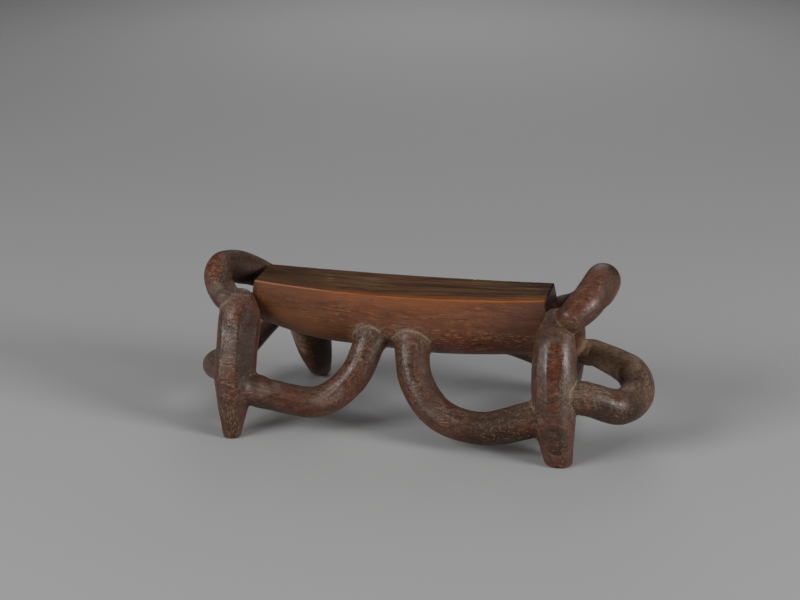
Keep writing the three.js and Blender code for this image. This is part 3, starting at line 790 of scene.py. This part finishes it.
    # dark streaks, blots and flecks between them
    trail = n.noise(n.vector("MULTIPLY", flow, (0.05, 1.0, 1.0)), 0.30, 3.0, 0.6)
    tone = n.mix(n.math("MULTIPLY", off_beam, n.ramp(trail, 0.46, 0.34, (0.0, 0.42))), tone, rgb(50, 32, 23))
    tone = n.mix(n.math("MULTIPLY", n.math("MULTIPLY", off_beam, n.ramp(blot, 0.48, 0.37)), n.ramp(speckle, 0.0, 1.0, (0.32, 0.7))), tone, rgb(50, 31, 21))
    fleck = n.math("MULTIPLY", n.ramp(flake, 0.47, 0.36), n.math("MULTIPLY", off_beam, n.ramp(matt, 0.0, 1.0, (0.72, 0.36))))
    tone = n.mix(fleck, tone, rgb(44, 30, 21))

    # painted highlight: pale grey on ridges, standing in for the lamps' highlights there
    tone = n.mix(n.math("MULTIPLY", painted_highlight, n.ramp(rub, 0.34, 0.62, (0.14, 0.42))), tone, rgb(134, 118, 108))
    # painted light again, evenly over the same faces
    tone = n.mix(n.math("MULTIPLY", painted_light, 0.34), tone, rgb(152, 122, 96))

    # scrapes: pale brushed dirt and broken fibre; on the back of the low right loop they are also painted light on
    # faces the lamps leave dark
    scrape_and_painted_light = n.math("MULTIPLY", scuff_and_painted_light, n.ramp(brush, 0.46, 0.62))
    tone = n.mix(n.math("MULTIPLY", scrape_and_painted_light, 0.58), tone, n.mix(n.ramp(grit, 0.3, 0.7), rgb(106, 83, 64), rgb(160, 136, 110)))

    # worn edges of the resting face, and a painted highlight along its front edge
    bow = n.math("MULTIPLY", n.math("MULTIPLY", x, x), 1 / BEAM_HALF**2)
    above = n.math("SUBTRACT", z, n.math("MULTIPLY_ADD", bow, BEAM_TOP_RISE, BEAM_TOP_MID))
    aside = n.math("SUBTRACT", n.math("ABSOLUTE", y), n.math("MULTIPLY_ADD", bow, -BEAM_BELLY, BEAM_HALF_WIDTH_END + BEAM_BELLY))
    edge = n.math("SQRT", n.math("ADD", n.math("MULTIPLY", above, above), n.math("MULTIPLY", aside, aside)))
    worn_edge_and_painted_highlight = n.math("MULTIPLY", n.ramp(edge, 0.45, 1.35, (1.0, 0.0)), on_beam)
    on_top = n.math("MULTIPLY", n.ramp(above, -1.2, -0.5), on_beam)
    scratch = n.noise(n.vector("MULTIPLY", waver, (0.06, 1.0, 1.0)), 0.17, 4.0, 0.72)
    face = n.mix(n.ramp(scratch, 0.36, 0.60), rgb(38, 23, 12), n.mix(n.ramp(x, -120.0, -30.0), rgb(72, 50, 30), rgb(90, 64, 37)))
    face = n.mix(n.math("MULTIPLY", n.ramp(scratch, 0.58, 0.66), n.ramp(n.noise(p, 0.05, 2.0, 0.5), 0.45, 0.6)), face, rgb(128, 100, 68))
    face = n.mix(n.ramp(n.noise(n.vector("MULTIPLY", p, (0.3, 1.0, 1.0)), 0.3, 3.0, 0.6), 0.58, 0.70, (0.0, 0.6)), face, rgb(30, 18, 10))
    tone = n.mix(n.math("MULTIPLY", on_top, 0.9), tone, face)
    band = n.math("MULTIPLY", on_top, n.ramp(aside, -17.0, -3.0))
    band = n.math("MULTIPLY", band, n.math("MULTIPLY", n.ramp(y, 5.0, -5.0), n.ramp(n.noise(along, 0.3, 3.0, 0.6), 0.3, 0.6)))
    tone = n.mix(n.math("MULTIPLY", band, n.ramp(x, -120.0, 0.0, (0.25, 0.9))), tone, rgb(128, 72, 34))
    # the front top edge: pale at the left and orange to the right, wear and a painted highlight
    tone = n.mix(n.math("MULTIPLY", worn_edge_and_painted_highlight, n.ramp(n.noise(along, 0.4, 2.0, 0.5), 0.3, 0.5, (0.35, 0.9))), tone, n.mix(n.ramp(x, -110.0, -40.0), rgb(156, 106, 80), rgb(160, 93, 49)))

    # dirt caught along the creases between members
    fray = n.noise(p, 0.30, 3.0, 0.6)
    corner = n.math("MULTIPLY", n.ramp(crease, 2.2, 0.3), n.ramp(seam, 5.0, 3.2))
    corner = n.math("MULTIPLY", corner, n.ramp(n.math("MULTIPLY_ADD", scuff_and_painted_light, 0.24, fray), 0.50, 0.70))
    tone = n.mix(n.math("MULTIPLY", corner, 0.62), tone, n.mix(n.ramp(grit, 0.35, 0.65), rgb(124, 100, 78), rgb(172, 150, 122)))
    n.put(shader.inputs["Base Color"], tone)

    rough = n.ramp(film, 0.0, 0.75, (0.40, 0.62))
    rough = n.math("ADD", rough, n.math("MULTIPLY_ADD", polish, -0.15, n.math("MULTIPLY_ADD", matt, 0.16, n.math("MULTIPLY", speckle, 0.03))))
    rough = n.math("ADD", rough, n.ramp(grit, 0.3, 0.7, (-0.05, 0.06)))
    rough = n.math("ADD", rough, n.math("MULTIPLY", n.math("MAXIMUM", pore_share, n.math("MAXIMUM", corner, scrape_and_painted_light)), 0.25))
    rough = n.math("ADD", rough, n.math("MULTIPLY", on_top, 0.26))
    n.put(shader.inputs["Roughness"], rough)
    gloss = n.math("MULTIPLY", n.ramp(on_top, 0.0, 1.0, (0.5, 0.06)), n.math("MULTIPLY", n.ramp(matt, 0.0, 1.0, (1.0, 0.5)), n.ramp(speckle, 0.0, 1.0, (1.0, 0.8))))
    n.put(shader.inputs["Specular IOR Level"], gloss)

    # heights in millimetres
    lump = n.noise(n.vector("MULTIPLY", waver, (0.6, 1.0, 1.0)), 0.27, 2.0, 0.5)
    calm = n.math("MULTIPLY", polish, n.ramp(speckle, 0.0, 0.7, (1.0, 0.0)))
    height = n.math("MULTIPLY_ADD", lump, n.ramp(on_beam, 0.0, 1.0, (0.40, 0.10)), n.math("MULTIPLY", fibre, 0.10))
    height = n.math("MULTIPLY_ADD", rub, 0.09, height)
    dent = n.noise(n.vector("MULTIPLY", flow, (0.34, 1.0, 1.0)), 0.36, 2.0, 0.5)
    height = n.math("MULTIPLY_ADD", n.math("MULTIPLY", n.ramp(speckle, 0.0, 1.0, (0.35, 1.0)), n.math("MULTIPLY", dent, off_beam)), 0.38, height)
    height = n.math("MULTIPLY_ADD", grit, 0.07, height)
    height = n.math("MULTIPLY_ADD", pore_share, -0.12, height)
    height = n.math("MULTIPLY_ADD", lines, 0.14, height)
    height = n.math("MULTIPLY_ADD", scrape_and_painted_light, 0.10, height)
    height = n.math("MULTIPLY", height, n.ramp(calm, 0.0, 1.0, (1.0, 0.45)))
    bump = n.add("ShaderNodeBump", {"Height": height, "Distance": 0.001, "Strength": 1.0})
    tree.links.new(bump.outputs[0], shader.inputs["Normal"])
    return material


mesh.materials.clear()
mesh.materials.append(wood())
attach(piece, "root")
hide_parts("headrest")

# ---- floor, lights, camera ------------------------------------------------------
bpy.ops.mesh.primitive_plane_add(size=20, location=(0, 0, 0))
floor = bpy.context.object
floor.name = "floor"
paper = bpy.data.materials.new("paper")
paper.use_nodes = True
paper.node_tree.nodes["Principled BSDF"].inputs["Base Color"].default_value = (0.42, 0.42, 0.42, 1)
paper.node_tree.nodes["Principled BSDF"].inputs["Roughness"].default_value = 0.9
paper.node_tree.nodes["Principled BSDF"].inputs["Specular IOR Level"].default_value = 0.1
floor.data.materials.append(paper)

world = bpy.data.worlds.new("world")
world.use_nodes = True
world.node_tree.nodes["Background"].inputs["Color"].default_value = (0.6, 0.6, 0.6, 1)
world.node_tree.nodes["Background"].inputs["Strength"].default_value = 0.05
bpy.context.scene.world = world
bpy.context.scene.view_settings.view_transform = "Standard"


def area(name, place, aim, size, power, colour=(1.0, 1.0, 1.0)):
    data = bpy.data.lights.new(name, "AREA")
    data.shape = "RECTANGLE"
    data.size, data.size_y = size
    data.energy = power
    data.color = colour
    lamp = bpy.data.objects.new(name, data)
    bpy.context.scene.collection.objects.link(lamp)
    lamp.location = place
    lamp.rotation_mode = "QUATERNION"
    lamp.rotation_quaternion = (Vector(aim) - Vector(place)).to_track_quat("-Z", "Y")
    return lamp


area("left", (-1.67, -1.61, 1.26), (0, 0, 0.08), (1.25, 1.25), 42)
area("right", (2.32, -0.76, 0.97), (0, 0, 0.08), (0.85, 0.85), 46)
area("over", (0, -0.1, 2.45), (0, -0.1, 0), (3.2, 3.2), 9.0)
area("far", (-0.5, 2.6, 1.25), (-0.5, 2.6, 0), (1.2, 1.2), 7.4)
area("behind", (-0.1, 2.1, 1.9), (0, -0.1, 0.05), (1.6, 1.6), 8.2)

AZ, EL, FOCAL_PX, DIST = math.radians(12.0), math.radians(19.5), 1500.0, 1.395
TARGET = Vector((-0.0044 - SHIFT[0] * MM, -SHIFT[1] * MM, 0.119))
back = Vector((math.sin(AZ) * math.cos(EL), -math.cos(AZ) * math.cos(EL), math.sin(EL)))
cam_data = bpy.data.cameras.new("camera")
cam_data.sensor_fit = "HORIZONTAL"
cam_data.sensor_width = 36.0
cam_data.lens = FOCAL_PX / 800.0 * 36.0
cam = bpy.data.objects.new("camera", cam_data)
bpy.context.scene.collection.objects.link(cam)
cam.location = TARGET + back * DIST
cam.rotation_mode = "QUATERNION"
cam.rotation_quaternion = (-back).to_track_quat("-Z", "Y")
bpy.context.scene.camera = cam
